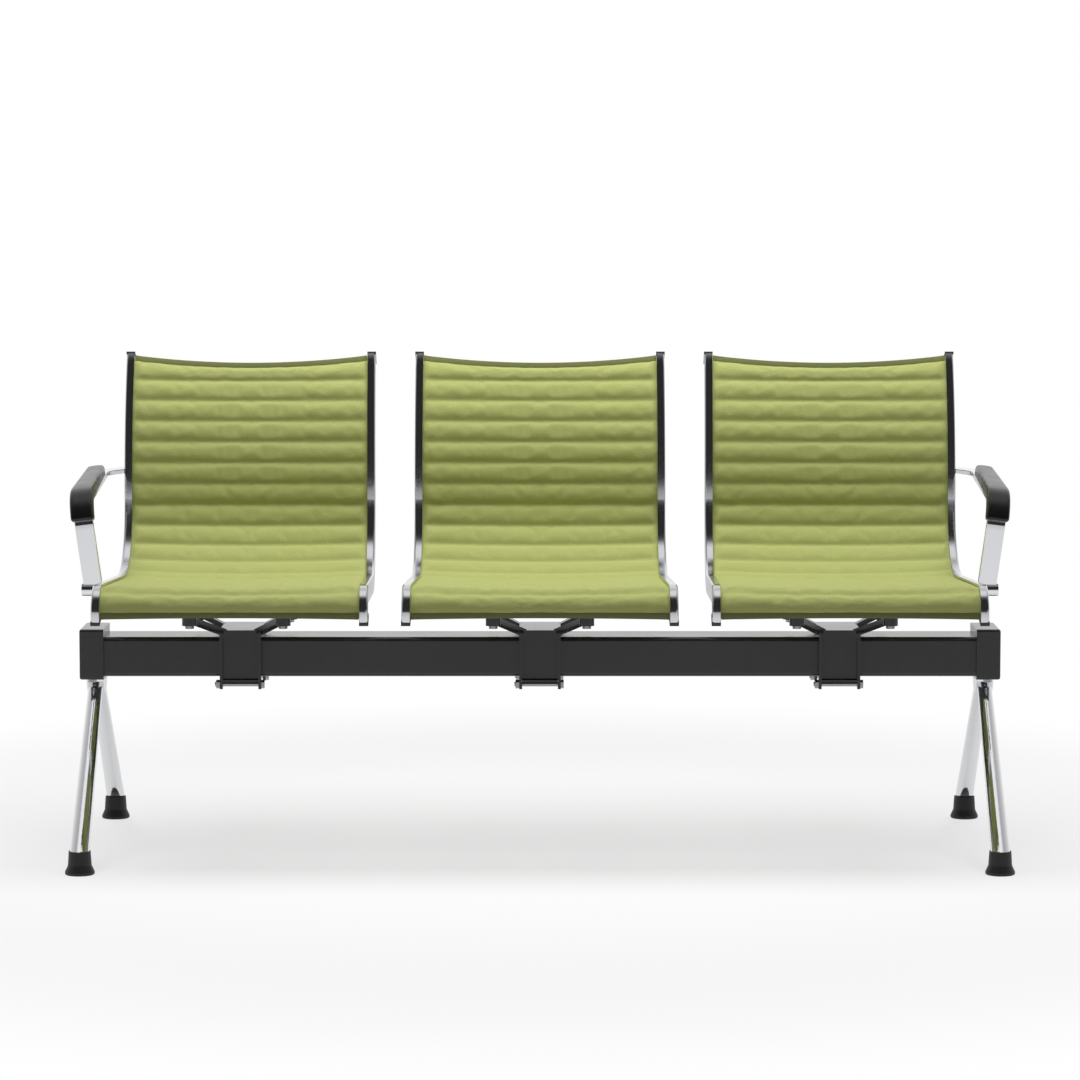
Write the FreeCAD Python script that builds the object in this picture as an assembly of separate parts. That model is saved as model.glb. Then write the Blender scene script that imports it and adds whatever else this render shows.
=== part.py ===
import FreeCAD, Part
import math
import os

# Three-place beam seating: ribbed slings between polished side rails, on one steel beam.
# Millimetres. X runs along the beam, Y to the back, Z up, and the origin is on the floor
# under the middle of the beam. "Left" is the side of negative X.

V = FreeCAD.Vector

# Layout
seat_places = (("left", -1), ("middle", 0), ("right", 1))
seat_pitch = 520.0  # centre to centre of neighbouring seats
beam_overhang = 280.5  # outer face of a head, from the middle of the outer seat
foot_spread = 600.0  # front foot centre to rear foot centre
beam_underside = 304.0
seat_front = 312.0  # the sling's middle surface reaches this far in front of the beam's middle
seat_rise = 109.0  # top of the front roll's middle surface, above the beam's top

# Beam
beam_height = 69.0
beam_depth = 100.0
beam_wall = 3.0
beam_corner = 7.0

# Cast heads that close the beam's ends
head_length = 42.0
head_end_wall = 10.0
head_side = 6.0
head_crest = 14.0
head_floor = 5.0
head_rounding = 4.0
head_clearance = 0.2
head_screw_inset = 7.5  # from the beam's front and rear faces
head_screw_length = 14.0

# Chromed hub and legs under each head
leg_inset = 24.5  # the legs' upright plane, in from the heads' outer faces
hub_width = 30.0
hub_inset = 27.0  # where a leg's axis leaves the hub, in from the beam's front face
hub_drop = 17.0  # and how far below the head
hub_face = 30.0
hub_draft = 0.2  # how much the hub widens on its way up to the head
hub_rounding = 2.0
leg_top_width = 25.0
leg_top_depth = 19.0
leg_foot_width = 33.0
leg_foot_depth = 22.0
leg_wall = 2.5

# Feet
glide_radius = 25.0
glide_rim = 5.0
glide_height = 15.7
glide_chamfer = 1.5
glide_travel = 12.0  # how far a glide screws out to level the bench
glide_gap = 0.3  # between glide and socket when the glide is screwed right in
socket_radius = 18.5
socket_height = 24.0
socket_collar = 20.0
stud_radius = 4.0
stud_seat = 5.0
stud_engagement = 9.5  # thread left in the socket when the glide is screwed right out
stud_end_gap = 1.5
spigot_length = 24.0
spigot_clearance = 0.2
running_clearance = 0.08

# The seat's line, seen from the side: a front roll, a level run, a bend, a leaning back and a
# small curl at the top. Rails and slings both follow it.
roll_radius = 38.0
roll_turn = 110.0
seat_fall = 3.2
seat_run = 338.0
bend_radius = 130.0
back_radius = 585.0
back_lean = 24.0
curl_radius = 80.0
curl_turn = 14.0

# Side rails
rail_inner = 213.5  # from the seat's middle to a rail's inner face
rail_width = 14.0
rail_front = 7.0  # the rail stands this far to the sitter's side of the seat's line
rail_rear = 27.0
rail_toe = 0.8  # degrees that each rail opens towards the front
rail_rounding = 4.0
rail_groove = 6.3  # depth of the groove that holds the sling's edge
rail_groove_half = 3.0
cap_length = 6.0  # on a rail's front end
cap_top_length = 3.0
cap_proud = 0.8

# Ribbed sling
rib_pitch = 38.4
rib_crown = 6.5
rib_under = 4.5
rib_valley = 2.0
edge_valley = 1.7
edge_taper = 16.0
edge_step = 1.0  # the sling is down to its edge's thickness this far before the groove
groove_play = 0.6
tongue_gap = 0.7  # from the sling's edge to the groove's floor
sling_start = 4.0
sling_end_gap = 2.0
sling_hem = 9.0
sling_sag = 6.0
top_sag = 12.0

# Spreaders between the rails
front_spreader_y = -150.0
rear_spreader_y = 48.0
back_spreader_below_arm = 37.0  # along the rail, down from the arm loop's rear screw
spreader_below = 11.0
spreader_thick = 12.0
spreader_width = 26.0
spreader_drop = 27.0
back_spreader_drop = 16.0
spreader_flat = 110.0
spreader_shoulder = 20.0
flange_length = 52.0
flange_thick = 4.0
flange_screw_offset = 18.5
spreader_rounding = 3.0

# Saddle that straddles the beam under each seat
saddle_width = 72.0
saddle_plate = 5.0
saddle_top = 14.0
saddle_reach = 16.0
saddle_margin = 4.0  # metal below the cross bolts
saddle_face = 5.0
saddle_fit = 0.2
yoke_half = 80.0
yoke_width = 18.0
yoke_thick = 10.0
yoke_root_x = 25.0
yoke_root_y = 38.0
boss_radius = 13.0
boss_height = 20.0
clamp_thick = 8.0
clamp_end = 1.5

# Fasteners
bolt_radius = 4.0
bolt_flats = 13.0
bolt_head = 5.3
nut_height = 6.5
bolt_past_nut = 2.0
hole_past_end = 1.5  # a blind hole is this much deeper than its screw
bolt_into_spreader = 9.0
screw_radius = 2.5
screw_head_radius = 4.5
screw_head = 3.0
screw_into_rail = 7.0
hole_clearance = 0.2
thread_clearance = 0.05

# Arm loops on the two outer rails
arm_back_along = 677.0  # where the loop leaves the back, along the rail
arm_foot_behind = 37.8  # where it comes down to the seat, behind the front spreader
arm_width = 32.0
arm_thick = 8.0
arm_outside = 61.0  # outer edge, from the rail's outer face
arm_fall = 4.3
arm_front_lean = 8.0
arm_bend = 42.0
arm_tilt = 7.0
arm_barrel = 11.0
arm_rounding = 1.2
arm_plan_corner = 22.0
arm_plan_inner = 12.0
arm_screw_depth = 9.0
pad_width = 40.0
pad_thick = 18.0
pad_gap = 0.2
pad_back = 75.0  # from the loop's rear end to the pad's rear end
pad_nose_turn = 76.0
pad_rounding = 7.0
pad_screw_first = 30.0
pad_screw_spacing = 150.0
pad_screw_depth = 10.0

# What follows from the values above
beam_top = beam_underside + beam_height
seat_height = beam_top + seat_rise
head_outside = seat_pitch + beam_overhang
leg_plane = head_outside - leg_inset
head_screw_y = beam_depth / 2 - head_screw_inset
hub_reach = beam_depth / 2 - hub_inset
rail_middle = (rail_front - rail_rear) / 2
flange_height = rail_rear - spreader_below
sling_tongue = rail_groove - tongue_gap
edge_crown = rail_groove_half - groove_play
saddle_below = clamp_thick + 2 * bolt_radius + saddle_margin
back_spreader_along = arm_back_along - back_spreader_below_arm
stud_top = glide_height + glide_gap + glide_travel + stud_engagement

# For making cuts and finding edges
far = 1500.0  # past every piece
over = 1.0  # how far a cut runs past the face that it opens
same = 0.1  # lengths and places closer than this are the same


def line(a, b):
    return Part.LineSegment(a, b).toShape()


def arc(a, m, b):
    """The arc from a through m to b, or a line where the three are in line."""
    chord = b - a
    rise = (m - a).cross(chord).Length / chord.Length
    if rise < same / 10:
        return line(a, b)
    return Part.Arc(a, m, b).toShape()


def block(x0, x1, y0, y1, z0, z1):
    return Part.makeBox(x1 - x0, y1 - y0, z1 - z0, V(x0, y0, z0))


def rod(radius, start, direction, length):
    return Part.makeCylinder(radius, length, start, direction)


def hexagon(flats, start, direction, height):
    """A hexagonal prism that starts at a point and runs along a direction."""
    corner = flats / 2 / math.cos(math.radians(30))
    ring = [V(corner * math.cos(math.radians(60 * i)), corner * math.sin(math.radians(60 * i)), 0)
            for i in range(7)]
    prism = Part.Face(Part.makePolygon(ring)).extrude(V(0, 0, height))
    prism.Placement = FreeCAD.Placement(start, FreeCAD.Rotation(V(0, 0, 1), direction))
    return prism


def fuse_all(shapes):
    whole = shapes[0].fuse(shapes[1:])
    return whole.removeSplitter()


def prism_yz(points, x0, x1):
    """A flat outline of (y, z) corners, carried from x0 to x1."""
    ring = [V(x0, y, z) for y, z in points]
    return Part.Face(Part.makePolygon(ring + ring[:1])).extrude(V(x1 - x0, 0, 0))


def mirrored(shape):
    return shape.mirror(V(0, 0, 0), V(1, 0, 0))


# The seat's line as spans of constant curvature, each with its start point and heading.
def seat_line():
    spans = []
    heading = math.radians(roll_turn)
    fall = math.radians(seat_fall)
    y = -seat_front + roll_radius - roll_radius * math.sin(heading)
    z = seat_height - roll_radius * (1 - math.cos(heading))
    along = 0.0
    for length, curve in (
        ((heading + fall) * roll_radius, -1 / roll_radius),
        (seat_run, 0.0),
        ((math.radians(90) + fall) * bend_radius, 1 / bend_radius),
        (math.radians(back_lean) * back_radius, -1 / back_radius),
        (math.radians(curl_turn) * curl_radius, -1 / curl_radius),
    ):
        span = (along, y, z, heading, curve)
        spans.append(span)
        y, z, heading = on_span(span, length)
        along += length
    return spans, along


def on_span(span, distance):
    """Y, Z and heading at a distance from a span's start."""
    _, y, z, heading, curve = span
    if curve == 0.0:
        return y + distance * math.cos(heading), z + distance * math.sin(heading), heading
    turned = heading + curve * distance
    y += (math.sin(turned) - math.sin(heading)) / curve
    z -= (math.cos(turned) - math.cos(heading)) / curve
    return y, z, turned


seat_spans, seat_length = seat_line()


def heading_at(s):
    span = [p for p in seat_spans if p[0] <= max(s, 0.0)][-1]
    inside = min(max(s, 0.0), seat_length)
    return on_span(span, inside - span[0])


def at(s, n):
    """Y and Z at s along the seat's line and n to the sitter's side. It runs on straight past its ends."""
    y, z, heading = heading_at(s)
    past = s - min(max(s, 0.0), seat_length)
    y += past * math.cos(heading) - n * math.sin(heading)
    z += past * math.sin(heading) + n * math.cos(heading)
    return y, z


def along_seat(y):
    """How far along the seat's line its level run is at this Y."""
    start, y0, _, heading, _ = seat_spans[1]
    return start + (y - y0) / math.cos(heading)


toe = math.radians(rail_toe)


def seat_point(x, s, n):
    """A point of the seat's line at x, where the rails open towards the front."""
    y, z = at(s, n)
    turn = toe * x / rail_inner
    return V(x - y * math.sin(turn), y * math.cos(turn), z)


def band(x, s0, s1, n0, n1, width):
    """A strip of the seat's line from s0 to s1 and n0 to n1, carried outwards from x by a width."""
    joints = [s0] + [p[0] for p in seat_spans if s0 + same < p[0] < s1 - same] + [s1]
    steps = list(zip(joints, joints[1:]))
    edges = []
    for a, b in steps:
        edges.append(arc(seat_point(x, a, n0), seat_point(x, (a + b) / 2, n0), seat_point(x, b, n0)))
    edges.append(line(seat_point(x, s1, n0), seat_point(x, s1, n1)))
    for a, b in reversed(steps):
        edges.append(arc(seat_point(x, b, n1), seat_point(x, (a + b) / 2, n1), seat_point(x, a, n1)))
    edges.append(line(seat_point(x, s0, n1), seat_point(x, s0, n0)))
    turn = toe * x / rail_inner
    side = math.copysign(width, x)
    return Part.Face(Part.Wire(edges)).extrude(V(side * math.cos(turn), side * math.sin(turn), 0))


def local_block(s, x0, x1, t0, t1, n0, n1):
    """A block squared up to the seat's line at s: t runs along the line and n to the sitter."""
    return to_seat(s, block(x0, x1, t0, t1, n0, n1))


def to_seat(s, shape):
    """Turns a shape drawn level, with Y along the line and Z to the sitter, onto the seat's line."""
    y, z, heading = heading_at(s)
    shape.rotate(V(0, 0, 0), V(1, 0, 0), math.degrees(heading))
    shape.translate(V(0, y, z))
    return shape


def between_planes(half_width):
    """The upright space between two planes that open with the rails."""
    front = half_width + far * math.tan(toe)
    back = half_width - far * math.tan(toe)
    ring = [V(-front, -far, 0), V(front, -far, 0), V(back, far, 0), V(-back, far, 0)]
    return Part.Face(Part.makePolygon(ring + ring[:1])).extrude(V(0, 0, far))


inside_rails = between_planes(rail_inner)
inside_rail_outers = between_planes(rail_inner + rail_width / math.cos(toe))
front_spreader_along = along_seat(front_spreader_y)
rear_spreader_along = along_seat(rear_spreader_y)
spreader_places = (front_spreader_along, rear_spreader_along, back_spreader_along)
flange_middle = -spreader_below - flange_height / 2


def rail_face_at(y):
    """How far a rail's inner face is from the seat's middle at this Y."""
    return rail_inner - y * math.tan(toe)


def rail_screw_places():
    """Where the spreaders' screws enter a rail: along the line, and depth from it."""
    for s in spreader_places:
        for offset in (-flange_screw_offset, flange_screw_offset):
            yield s, offset, flange_middle


def spreader_screw(side, s, offset, n, radius, length, start):
    """A round along X at a screw's place. start is how far inside the rail's face it begins."""
    face = rail_face_at(heading_at(s)[0])
    shape = rod(radius, V(side * (face - start), offset, n), V(side, 0, 0), length)
    return to_seat(s, shape)


def rail(side):
    """One polished side rail, with the groove that holds the sling's edge."""
    x = side * rail_inner
    body = band(x, 0.0, seat_length, -rail_rear, rail_front, rail_width)
    body = body.makeFillet(rail_rounding, rail_rims(body))
    groove = band(x - side * over, -over, seat_length + over, -rail_groove_half, rail_groove_half,
                  rail_groove + over)
    body = body.cut(groove)
    for s, offset, n in rail_screw_places():
        hole = spreader_screw(side, s, offset, n, screw_radius + thread_clearance,
                              screw_into_rail + hole_past_end + over, over)
        body = body.cut(hole)
    return body


def rail_rims(body):
    """The long edges of a rail's outer face, without its two end edges."""
    depth = rail_front + rail_rear
    return [e for e in body.Edges
            if all(is_outer_point(v.Point) for v in e.Vertexes) and abs(e.Length - depth) > same]


def is_outer_point(p):
    """True past the middle of a rail's width."""
    return abs(p.x) > rail_face_at(p.y) + rail_width / 2


def rail_caps():
    """Black caps on the front and top ends of both rails."""
    caps = []
    for side in (-1, 1):
        x = side * (rail_inner - cap_proud)
        for s0, s1 in ((-cap_length, 0.0), (seat_length, seat_length + cap_top_length)):
            caps.append(band(x, s0, s1, -rail_rear - cap_proud, rail_front + cap_proud,
                             rail_width + 2 * cap_proud))
    return Part.makeCompound(caps)


def sling_section(x, crown, under, valley):
    """The sling's outline at x: ribs on both faces, a flat hem at both ends."""
    share = max(0.0, 1.0 - (x / rail_inner) ** 2)
    sag = sling_sag * share
    first = sling_start + sling_hem
    last = seat_length - sling_end_gap - sling_hem
    ribs = round((last - first) / rib_pitch)
    step = (last - first) / ribs
    end = last - top_sag * share
    marks = [first + i * step for i in range(ribs)] + [end]
    pairs = list(zip(marks, marks[1:]))

    def p(s, n):
        return seat_point(x, s, n - sag)

    edges = [line(p(sling_start, valley), p(first, valley))]
    for a, b in pairs:
        edges.append(arc(p(a, valley), p((a + b) / 2, crown), p(b, valley)))
    edges.append(line(p(end, valley), p(end + sling_hem, valley)))
    edges.append(line(p(end + sling_hem, valley), p(end + sling_hem, -valley)))
    edges.append(line(p(end + sling_hem, -valley), p(end, -valley)))
    for a, b in reversed(pairs):
        edges.append(arc(p(b, -valley), p((a + b) / 2, -under), p(a, -valley)))
    edges.append(line(p(first, -valley), p(sling_start, -valley)))
    edges.append(line(p(sling_start, -valley), p(sling_start, valley)))
    return Part.Wire(edges)


def sling():
    """The padded sling: sewn ribs across it, drawn in to thin edges that sit in the rails' grooves."""
    half = [
        (rail_inner + sling_tongue, edge_crown, edge_crown, edge_valley),
        (rail_inner - edge_step, edge_crown, edge_crown, edge_valley),
        (rail_inner - edge_taper, rib_crown, rib_under, rib_valley),
        (rail_inner / 2, rib_crown, rib_under, rib_valley),
    ]
    stations = [(-x, c, u, v) for x, c, u, v in half]
    stations.append((0.0, rib_crown, rib_under, rib_valley))
    stations += reversed(half)
    return Part.makeLoft([sling_section(*station) for station in stations], True, True)


def spreader(s, drop):
    """A cranked bar from rail to rail, with a screw flange at each end."""
    end = rail_inner + rail_width
    knee = rail_inner - spreader_shoulder
    top = -spreader_below
    upper = [(-end, top), (-knee, top), (-spreader_flat, top - drop),
             (spreader_flat, top - drop), (knee, top), (end, top)]
    lower = [(x, n - spreader_thick) for x, n in reversed(upper)]
    ring = [V(x, -spreader_width / 2, n) for x, n in upper + lower]
    bar = Part.Face(Part.makePolygon(ring + ring[:1])).extrude(V(0, spreader_width, 0))
    bar = bar.makeFillet(spreader_rounding, long_edges(bar, 2 * spreader_flat))
    bar = to_seat(s, bar)
    pieces = [bar]
    inner = rail_face_at(heading_at(s)[0]) - flange_thick
    for x0, x1 in ((-end, -inner), (inner, end)):
        pieces.append(local_block(s, x0, x1, -flange_length / 2, flange_length / 2,
                                  top - flange_height, top))
    body = fuse_all(pieces).common(inside_rails)
    for side in (-1, 1):
        for offset in (-flange_screw_offset, flange_screw_offset):
            hole = spreader_screw(side, s, offset, flange_middle, screw_radius + hole_clearance,
                                  flange_thick + 2 * over, flange_thick + over)
            body = body.cut(hole)
    return body


def spreader_screws():
    """The screws of one seat's spreaders, driven from inside each flange into the rail."""
    screws = []
    for side in (-1, 1):
        for s, offset, n in rail_screw_places():
            shank = spreader_screw(side, s, offset, n, screw_radius,
                                   flange_thick + screw_into_rail, flange_thick)
            head = spreader_screw(side, s, offset, n, screw_head_radius, screw_head,
                                  flange_thick + screw_head)
            screws.append(shank.fuse(head).removeSplitter())
    return screws


def pad_tops():
    """Where the yoke's four bosses meet the spreaders: x, y and the spreader's place along the line."""
    for s in (front_spreader_along, rear_spreader_along):
        y, _ = at(s, -spreader_below - spreader_drop - spreader_thick)
        for x in (-yoke_half, yoke_half):
            yield x, y, s


def above_spreader_underside(s):
    """The space above a spreader's lower face."""
    under = -spreader_below - spreader_drop - spreader_thick
    return local_block(s, -yoke_half - yoke_width - boss_radius, yoke_half + yoke_width + boss_radius,
                       -2 * boss_radius, 2 * boss_radius, under, under + 2 * boss_height)


def pad_height(s):
    return at(s, -spreader_below - spreader_drop - spreader_thick)[1]


def yoke_arm(x, y, s):
    """A bar from the saddle's top to the boss at x, y."""
    root = V(math.copysign(yoke_root_x, x), math.copysign(yoke_root_y, y), beam_top)
    tip = V(x, y, pad_height(s) - boss_height / 2 - yoke_thick / 2)
    run = V(tip.x - root.x, tip.y - root.y, 0).normalize()
    across = V(-run.y, run.x, 0) * (yoke_width / 2)
    rings = []
    for p in (root, tip):
        up = V(0, 0, yoke_thick)
        corners = [p - across, p + across, p + across + up, p - across + up]
        rings.append(Part.makePolygon(corners + corners[:1]))
    return Part.makeLoft(rings, True, True)


def saddle():
    """The black weldment that straddles the beam and carries one seat."""
    half = saddle_width / 2
    reach = beam_depth / 2 + saddle_reach
    top = beam_top + saddle_top
    bottom = beam_underside - saddle_below
    slot = beam_depth / 2 + saddle_fit
    pieces = [block(-half, half, -reach, reach, beam_top, top)]
    for x0, x1 in ((-half, -half + saddle_plate), (half - saddle_plate, half)):
        for side in (-1, 1):
            y0, y1 = sorted((side * slot, side * reach))
            pieces.append(block(x0, x1, y0, y1, bottom, top))
    for side in (-1, 1):
        y0, y1 = sorted((side * slot, side * (slot + saddle_face)))
        pieces.append(block(-half, half, y0, y1, beam_underside - clamp_thick / 2, top))
    for x, y, s in pad_tops():
        pieces.append(yoke_arm(x, y, s))
        foot = V(x, y, pad_height(s) - boss_height)
        pieces.append(rod(boss_radius, foot, V(0, 0, 1), boss_height + boss_radius / 2))
    body = fuse_all(pieces)
    for x, y, s in pad_tops():
        if x < 0:
            body = body.cut(above_spreader_underside(s))
        body = body.cut(rod(bolt_radius + hole_clearance, V(x, y, 0), V(0, 0, 1), far))
    for side in (-1, 1):
        start = V(-far / 2, side * clamp_bolt_y(), clamp_bolt_z())
        body = body.cut(rod(bolt_radius + hole_clearance, start, V(1, 0, 0), far))
    return body


def clamp_bolt_y():
    return beam_depth / 2 + saddle_reach / 2


def clamp_bolt_z():
    """The cross bolts bear on the clamp plate's underside."""
    return beam_underside - clamp_thick - bolt_radius


def clamp_plate():
    """The plate that the cross bolts press up against the beam's underside."""
    half = saddle_width / 2 - saddle_plate - saddle_fit
    reach = beam_depth / 2 - clamp_end
    wide = block(-half, half, -reach, reach, beam_underside - clamp_thick, beam_underside)
    ear_reach = beam_depth / 2 + saddle_reach
    ears = block(-half, half, -ear_reach, ear_reach, beam_underside - clamp_thick,
                 beam_underside - clamp_thick / 2 - saddle_fit)
    return fuse_all([wide, ears])


def clamp_bolts():
    """Two cross bolts with their nuts."""
    half = saddle_width / 2
    solids = []
    for side in (-1, 1):
        start = V(-half - nut_height - bolt_past_nut, side * clamp_bolt_y(), clamp_bolt_z())
        shank = rod(bolt_radius, start, V(1, 0, 0), 2 * half + nut_height + bolt_past_nut)
        head = hexagon(bolt_flats, V(half, start.y, start.z), V(1, 0, 0), bolt_head)
        solids.append(shank.fuse(head).removeSplitter())
        nut = hexagon(bolt_flats, V(-half - nut_height, start.y, start.z), V(1, 0, 0), nut_height)
        solids.append(nut.cut(rod(bolt_radius + thread_clearance, start, V(1, 0, 0), far)))
    return solids


def yoke_bolts():
    """Four bolts from below, through the bosses into the spreaders."""
    solids = []
    for x, y, s in pad_tops():
        foot = V(x, y, pad_height(s) - boss_height)
        shank = rod(bolt_radius, foot, V(0, 0, 1), boss_height + bolt_into_spreader)
        head = hexagon(bolt_flats, foot - V(0, 0, bolt_head), V(0, 0, 1), bolt_head)
        solids.append(shank.fuse(head).removeSplitter())
    return solids


def with_bolt_holes(bar, s):
    """A seat spreader with the holes for its two yoke bolts."""
    for x, y, place in pad_tops():
        if place == s:
            start = V(x, y, pad_height(s) - boss_height)
            length = boss_height + bolt_into_spreader + hole_past_end
            bar = bar.cut(rod(bolt_radius + thread_clearance, start, V(0, 0, 1), length))
    return bar


def long_edges(body, length):
    return [e for e in body.Edges if abs(e.Length - length) < same]


def rounded_tube(height, depth, wall, corner, x0, x1):
    """A rectangular tube along X, resting at the beam's underside."""
    body = block(x0, x1, -depth / 2, depth / 2, beam_underside, beam_underside + height)
    body = body.makeFillet(corner, long_edges(body, x1 - x0))
    bore = block(x0 - over, x1 + over, -depth / 2 + wall, depth / 2 - wall,
                 beam_underside + wall, beam_underside + height - wall)
    return body.cut(bore.makeFillet(corner - wall, long_edges(bore, x1 - x0 + 2 * over)))


def head_screw_places():
    for y in (-head_screw_y, head_screw_y):
        yield head_outside - head_length / 2, y


def beam():
    """The steel beam, with the tapped holes for the heads' screws."""
    end = head_outside - head_end_wall - head_clearance
    body = rounded_tube(beam_height, beam_depth, beam_wall, beam_corner, -end, end)
    for x, y in head_screw_places():
        for side in (-1, 1):
            start = V(side * x, y, beam_underside - head_floor)
            length = head_screw_length + hole_past_end
            body = body.cut(rod(bolt_radius + thread_clearance, start, V(0, 0, 1), length))
    return body


def head():
    """The right-hand head: a black sleeve closed at its outer end, over the beam's end."""
    x0 = head_outside - head_length
    half = beam_depth / 2 + head_side
    body = block(x0, head_outside, -half, half, beam_underside - head_floor, beam_top + head_crest)
    rims = [e for e in body.Edges if all(v.Point.x > head_outside - same for v in e.Vertexes)]
    body = body.makeFillet(head_rounding, rims + long_edges(body, head_length))
    gap = head_clearance
    pocket = block(x0 - over, head_outside - head_end_wall, -beam_depth / 2 - gap, beam_depth / 2 + gap,
                   beam_underside, beam_top + gap)
    corners = long_edges(pocket, head_length - head_end_wall + over)
    body = body.cut(pocket.makeFillet(beam_corner, corners))
    for x, y in head_screw_places():
        start = V(x, y, beam_underside - head_floor - over)
        body = body.cut(rod(bolt_radius + hole_clearance, start, V(0, 0, 1), head_floor + 2 * over))
    return body


def head_screws():
    """Screws up through both heads' floors into the beam."""
    solids = []
    for x, y in head_screw_places():
        for side in (-1, 1):
            foot = V(side * x, y, beam_underside - head_floor)
            shank = rod(bolt_radius, foot, V(0, 0, 1), head_screw_length)
            top = hexagon(bolt_flats, foot - V(0, 0, bolt_head), V(0, 0, 1), bolt_head)
            solids.append(shank.fuse(top).removeSplitter())
    return solids


# A front leg's axis, in the leg plane: from its face on the hub to the socket's top.
hub_top = beam_underside - head_floor
leg_foot_z = glide_height + glide_gap + socket_height
leg_start = V(0, -hub_reach, hub_top - hub_drop)
leg_end = V(0, -foot_spread / 2, leg_foot_z)
leg_way = (leg_end - leg_start).normalize()
leg_up = V(0, leg_way.z, -leg_way.y)


def hub():
    """The chromed block where the two legs of an end meet."""
    low = leg_start - leg_up * (hub_face / 2)
    high = leg_start + leg_up * (hub_face / 2)
    if low.z > high.z:
        low, high = high, low
    high_y = high.y - (hub_top - high.z) * hub_draft
    outline = [(high_y, hub_top), (high.y, high.z), (low.y, low.z),
               (-low.y, low.z), (-high.y, high.z), (-high_y, hub_top)]
    body = prism_yz(outline, leg_plane - hub_width / 2, leg_plane + hub_width / 2)
    rims = [e for e in body.Edges if not all(abs(v.Z - hub_top) < same for v in e.Vertexes)]
    return body.makeFillet(hub_rounding, rims)


def oval(centre, width, depth):
    """An ellipse square to a front leg's axis, width along X."""
    ellipse = Part.Ellipse(centre + V(width / 2, 0, 0), centre + leg_up * (depth / 2), centre)
    return Part.Wire(ellipse.toShape())


def leg_body(shrink):
    """A front leg's tapered form, smaller all round by shrink. It runs on past the foot socket's top."""
    past = leg_foot_z
    length = (leg_end - leg_start).Length
    share = (length + past) / length
    width = leg_top_width + (leg_foot_width - leg_top_width) * share
    depth = leg_top_depth + (leg_foot_depth - leg_top_depth) * share
    start = oval(leg_start, leg_top_width - 2 * shrink, leg_top_depth - 2 * shrink)
    end = oval(leg_start + leg_way * (length + past), width - 2 * shrink, depth - 2 * shrink)
    return Part.makeLoft([start, end], True, True)


def front_leg():
    """A hollow oval leg, cut level where the socket meets it."""
    tube = leg_body(0.0).cut(leg_body(leg_wall))
    tube = tube.cut(block(-far, far, -far, far, -far, leg_foot_z))
    return tube.translated(V(leg_plane, 0, 0))


def foot_socket():
    """The black collar at a leg's end, with a spigot up inside the leg and a bore for the stud."""
    foot = V(0, -foot_spread / 2, 0)
    bottom = leg_foot_z - socket_height
    cone = Part.makeCone(socket_collar, socket_radius, socket_height, foot + V(0, 0, bottom), V(0, 0, 1))
    slab = block(-far, far, -far, far, leg_foot_z - over, leg_foot_z + spigot_length)
    spigot = leg_body(leg_wall + spigot_clearance).common(slab)
    body = fuse_all([cone, spigot])
    bore = rod(stud_radius + running_clearance, foot, V(0, 0, 1), stud_top + stud_end_gap)
    return body.cut(bore).translated(V(leg_plane, 0, 0))


def glide_base():
    """The flared foot that stands on the floor."""
    outline = [V(0, 0, 0), V(glide_radius - glide_chamfer, 0, 0), V(glide_radius, 0, glide_chamfer),
               V(glide_radius, 0, glide_rim), V(socket_collar, 0, glide_height), V(0, 0, glide_height)]
    body = Part.Face(Part.makePolygon(outline + outline[:1])).revolve(V(0, 0, 0), V(0, 0, 1), 360)
    seat = rod(stud_radius + thread_clearance, V(0, 0, stud_seat), V(0, 0, 1), glide_height)
    return body.cut(seat).translated(V(leg_plane, -foot_spread / 2, 0))


def glide_stud():
    """The threaded stud that screws up into the socket."""
    foot = V(leg_plane, -foot_spread / 2, stud_seat)
    return rod(stud_radius, foot, V(0, 0, 1), stud_top - stud_seat)


# The right-hand arm loop is drawn upright, with x counted from the rail's outer face, and then
# tilted so that its front comes in to the seat's rail.
arm_rear = at(arm_back_along, rail_middle)
arm_foot = at(front_spreader_along + arm_foot_behind, rail_middle)


def arm_lines():
    """Corner and end points of the loop's middle line, and its two directions."""
    back = math.radians(180 + arm_fall)
    down = math.radians(270 + arm_front_lean)
    d1 = V(0, math.cos(back), math.sin(back))
    d2 = V(0, math.cos(down), math.sin(down))
    rear = V(0, arm_rear[0], arm_rear[1]) - d1 * (arm_width / 2)
    foot = V(0, arm_foot[0], arm_foot[1])
    across = foot - rear
    # rear + a d1 = foot - b d2
    a = (across.y * d2.z - across.z * d2.y) / (d1.y * d2.z - d1.z * d2.y)
    return rear, rear + d1 * a, foot, d1, d2


def arm_offset(n, share=1.0):
    """Edges of the loop's line moved outwards by n: run, bend, and leg. share cuts the bend short."""
    rear, corner, foot, d1, d2 = arm_lines()
    turn = math.radians(90 + arm_front_lean - arm_fall)
    cut = arm_bend * math.tan(turn / 2)
    n1 = V(0, d1.z, -d1.y)
    t1 = corner - d1 * cut
    centre = t1 - n1 * arm_bend
    radius = arm_bend + n

    def on_bend(part):
        angle = turn * part
        return centre + n1 * (radius * math.cos(angle)) + d1 * (radius * math.sin(angle))

    n2 = V(0, d2.z, -d2.y)
    points = [rear + n1 * n, on_bend(0.0), on_bend(share / 2), on_bend(share)]
    return points, foot + n2 * n


def strip_face(n0, n1):
    """The loop's band seen from the side, between two offsets."""
    (a, b, m, c), foot0 = arm_offset(n0)
    (e, f, g, h), foot1 = arm_offset(n1)
    edges = [line(a, b), arc(b, m, c), line(c, foot0), line(foot0, foot1),
             line(foot1, h), arc(h, g, f), line(f, e), line(e, a)]
    return Part.Face(Part.Wire(edges))


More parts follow.
